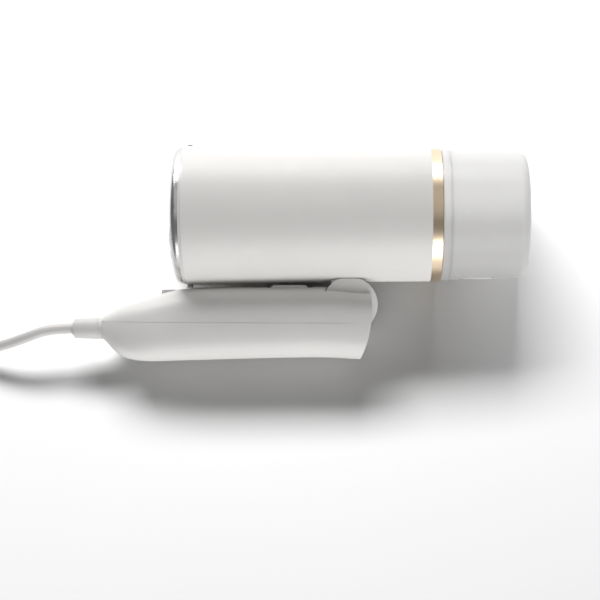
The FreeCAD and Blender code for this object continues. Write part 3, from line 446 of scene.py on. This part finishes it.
# ---------------------------------------------------------------- room
FLOOR_HALF = 3.0
LIGHT_TARGET = Vector((0, 0, 0.03))
WORLD_STRENGTH = 0.17
TANK_BODIES = ("tank", "plunger", "flap")
TANK_WALLS = ("tank_shell", "tank_collar")
CASTS_NO_SHADOW = "handle_outer_shell"
# Azimuth and elevation in degrees, distance and size in metres.
FLOOR_KEY = (11, 42, 2.0, (1.25, 0.5))
FLOOR_WATTS = 52
THROUGH_TANK_WATTS = 15
# The same, with the strength in watts, for the soft boxes of the body and of the tank.
BODY_LIGHTS = {
    "key": (14, 26, 1.6, (1.2, 0.8), 25),
    "fill": (200, 10, 1.6, (1.6, 0.9), 22),
    "top": (0, 86, 1.8, (1.6, 1.6), 3),
}
TANK_LIGHTS = {
    "key": (14, 30, 1.6, (1.2, 0.8), 21),
    "fill": (200, 20, 1.6, (1.6, 0.9), 9),
    "top": (0, 86, 1.8, (1.6, 1.6), 17),
}


def floor():
    data = bpy.data.meshes.new("floor")
    half = FLOOR_HALF
    corners = [(-half, -half, 0), (half, -half, 0), (half, half, 0), (-half, half, 0)]
    data.from_pydata(corners, [], [(0, 1, 2, 3)])
    made = bpy.data.objects.new("floor", data)
    bpy.context.scene.collection.objects.link(made)
    nodes = Nodes("paper_floor")
    nodes.colour((0.86, 0.86, 0.86), 0.004, 6)
    nodes.roughness(0.85, 0.95, 20)
    data.materials.append(nodes.material)
    return made


def area_light(name, azimuth, elevation, distance, size, strength, lit, shading=None):
    """A soft box aimed at the steamer, with its azimuth from +Y towards -X.
    It lights only what is in lit and, where shading is given, only what is in shading blocks it."""
    light = bpy.data.lights.new(name, "AREA")
    light.shape = "RECTANGLE"
    light.size, light.size_y = size
    light.energy = strength
    made = bpy.data.objects.new(name, light)
    bpy.context.scene.collection.objects.link(made)
    turn, rise = math.radians(azimuth), math.radians(elevation)
    level = Vector((-math.sin(turn), math.cos(turn), 0))
    made.location = LIGHT_TARGET + (level * math.cos(rise) + Vector((0, 0, math.sin(rise)))) * distance
    made.rotation_euler = (LIGHT_TARGET - made.location).to_track_quat("-Z", "Y").to_euler()
    made.light_linking.receiver_collection = lit
    if shading:
        made.light_linking.blocker_collection = shading


def light_groups(floor_piece):
    """Collections for the lights: what they light and, for the floor's light, what blocks it."""
    names = ("ground", "body", "tank", "casting", "opaque")
    groups = {name: bpy.data.collections.new(name) for name in names}
    groups["ground"].objects.link(floor_piece)
    bodies = frame["record"]["behaviour"]["bodies"]
    in_tank = [node for body in TANK_BODIES for node in bodies[body]]
    for piece in bpy.context.scene.objects:
        if piece.type not in ("MESH", "CURVE") or piece is floor_piece:
            continue
        groups["tank" if piece.name in TANK_WALLS else "body"].objects.link(piece)
        if piece.name != CASTS_NO_SHADOW:
            groups["casting"].objects.link(piece)
            if piece.name not in in_tank:
                groups["opaque"].objects.link(piece)
    return groups


def lights(floor_piece):
    """The floor, the body and the tank have soft boxes of their own, as with cards in a studio.
    A part of the floor's light passes through the milky tank."""
    groups = light_groups(floor_piece)
    ground = groups["ground"]
    area_light("floor_key", *FLOOR_KEY, FLOOR_WATTS, ground, groups["casting"])
    area_light("floor_key_through_tank", *FLOOR_KEY, THROUGH_TANK_WATTS, ground, groups["opaque"])
    for name, values in BODY_LIGHTS.items():
        area_light(f"body_{name}", *values, groups["body"])
    for name, values in TANK_LIGHTS.items():
        area_light(f"tank_{name}", *values, groups["tank"])


def surroundings():
    world = bpy.data.worlds.new("room")
    world.use_nodes = True
    background = world.node_tree.nodes["Background"]
    background.inputs["Color"].default_value = (1, 1, 1, 1)
    background.inputs["Strength"].default_value = WORLD_STRENGTH
    bpy.context.scene.world = world
    bpy.context.scene.view_settings.view_transform = "Standard"


def camera():
    forward = (CAMERA_AIM - CAMERA_AT).normalized()
    right = forward.cross(UP_IN_VIEW).normalized()
    up = right.cross(forward)
    turn = Matrix((right, up, -forward)).transposed().to_4x4()
    data = bpy.data.cameras.new("camera")
    data.sensor_width = CAMERA_SENSOR
    data.lens = CAMERA_LENS
    made = bpy.data.objects.new("camera", data)
    made.matrix_world = Matrix.Translation(CAMERA_AT) @ turn
    bpy.context.scene.collection.objects.link(made)
    bpy.context.scene.camera = made


camera()
make_cord()
make_strain_relief()
dress_cad_nodes()
lights(floor())
surroundings()
bpy.context.view_layer.update()
